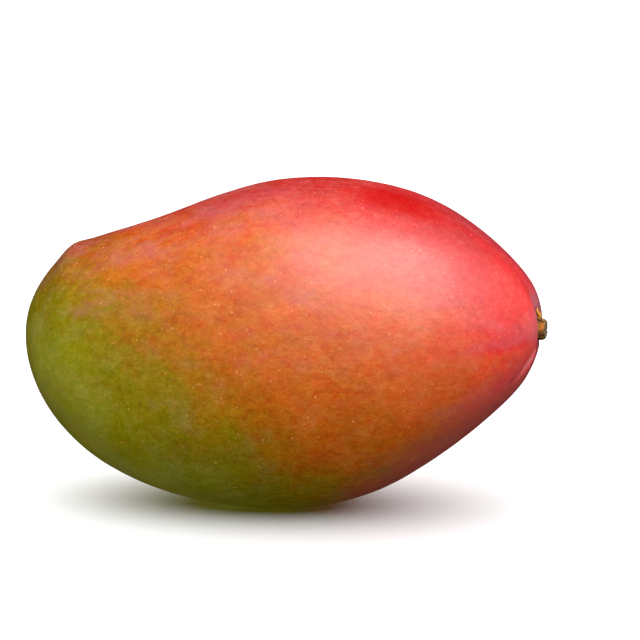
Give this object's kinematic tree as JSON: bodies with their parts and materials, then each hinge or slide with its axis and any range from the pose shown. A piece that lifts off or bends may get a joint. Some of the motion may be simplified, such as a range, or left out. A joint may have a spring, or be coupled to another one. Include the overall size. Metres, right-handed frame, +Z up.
{
  "type": "mango",
  "caption": "Whole ripe mango, kidney-shaped with flattened cheeks, its skin green at the apex and red at the stem, with the dry stub of its stem.",
  "frame": {"origin": "on the surface that the fruit rests on, under the middle of its bounding box", "axes": "+X towards the stem and -X towards the apex; the flat stone inside would lie in the XZ plane, so the broad cheeks face -Y and +Y; +Z up, with the upper edge bearing the sinus and the beak"},
  "size_m": [0.1486, 0.0788, 0.0933],
  "materials": {
    "skin": "satin fruit skin with a thin bloom of wax, green at the apex through orange to red at the stem, with fine pale dots",
    "dry_stem": "matt, dry and fibrous, with a corky collar and a grey cut end"
  },
  "bodies": {
    "root": {"fruit": "skin", "stem_stub": "dry_stem"}
  },
  "joints": []
}
